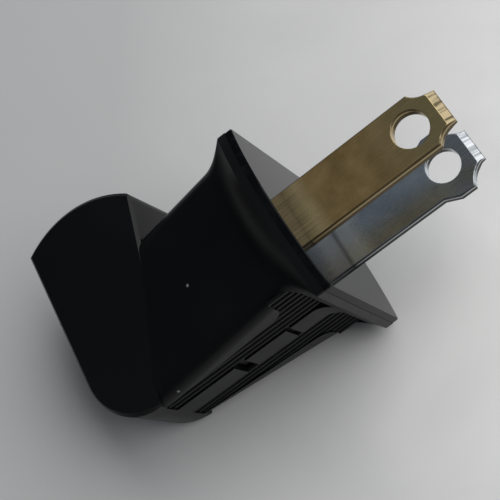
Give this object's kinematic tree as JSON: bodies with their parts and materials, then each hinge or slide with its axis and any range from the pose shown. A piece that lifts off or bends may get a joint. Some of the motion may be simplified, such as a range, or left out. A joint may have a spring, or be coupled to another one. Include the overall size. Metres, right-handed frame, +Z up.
{
  "type": "angled plug",
  "caption": "Angled mains plug with two flat drilled blades, a flared face, a ribbed grip side and a side neck for a cord.",
  "frame": {"origin": "centre of the face that meets the outlet, between the two blades", "axes": "+Z up from the surface that the plug lies on, +Y along the blades apart from their upward tilt of 15.15 degrees, +X towards the ribbed grip side; the neck for the cord is towards -X"},
  "size_m": [0.0276, 0.0491, 0.0261],
  "materials": {
    "moulded_black": "satin, moulded",
    "gloss_black": "smooth, moulded",
    "carrier_black": "matte, moulded",
    "blade_brass": "stamped, handled",
    "blade_nickel": "nickel plated",
    "screw_brass": "turned",
    "screw_nickel": "plated",
    "plate_steel": "zinc plated, stamped"
  },
  "bodies": {
    "root": {"housing": "moulded_black", "face_plate": "gloss_black", "contact_carrier": "carrier_black", "line_blade": "blade_brass", "neutral_blade": "blade_nickel", "line_terminal_screw": "screw_brass", "neutral_terminal_screw": "screw_nickel", "line_wire_clamp": "plate_steel", "neutral_wire_clamp": "plate_steel", "cord_clamp": "plate_steel", "cord_clamp_screw_1": "screw_nickel", "cord_clamp_screw_2": "screw_nickel"}
  },
  "joints": []
}
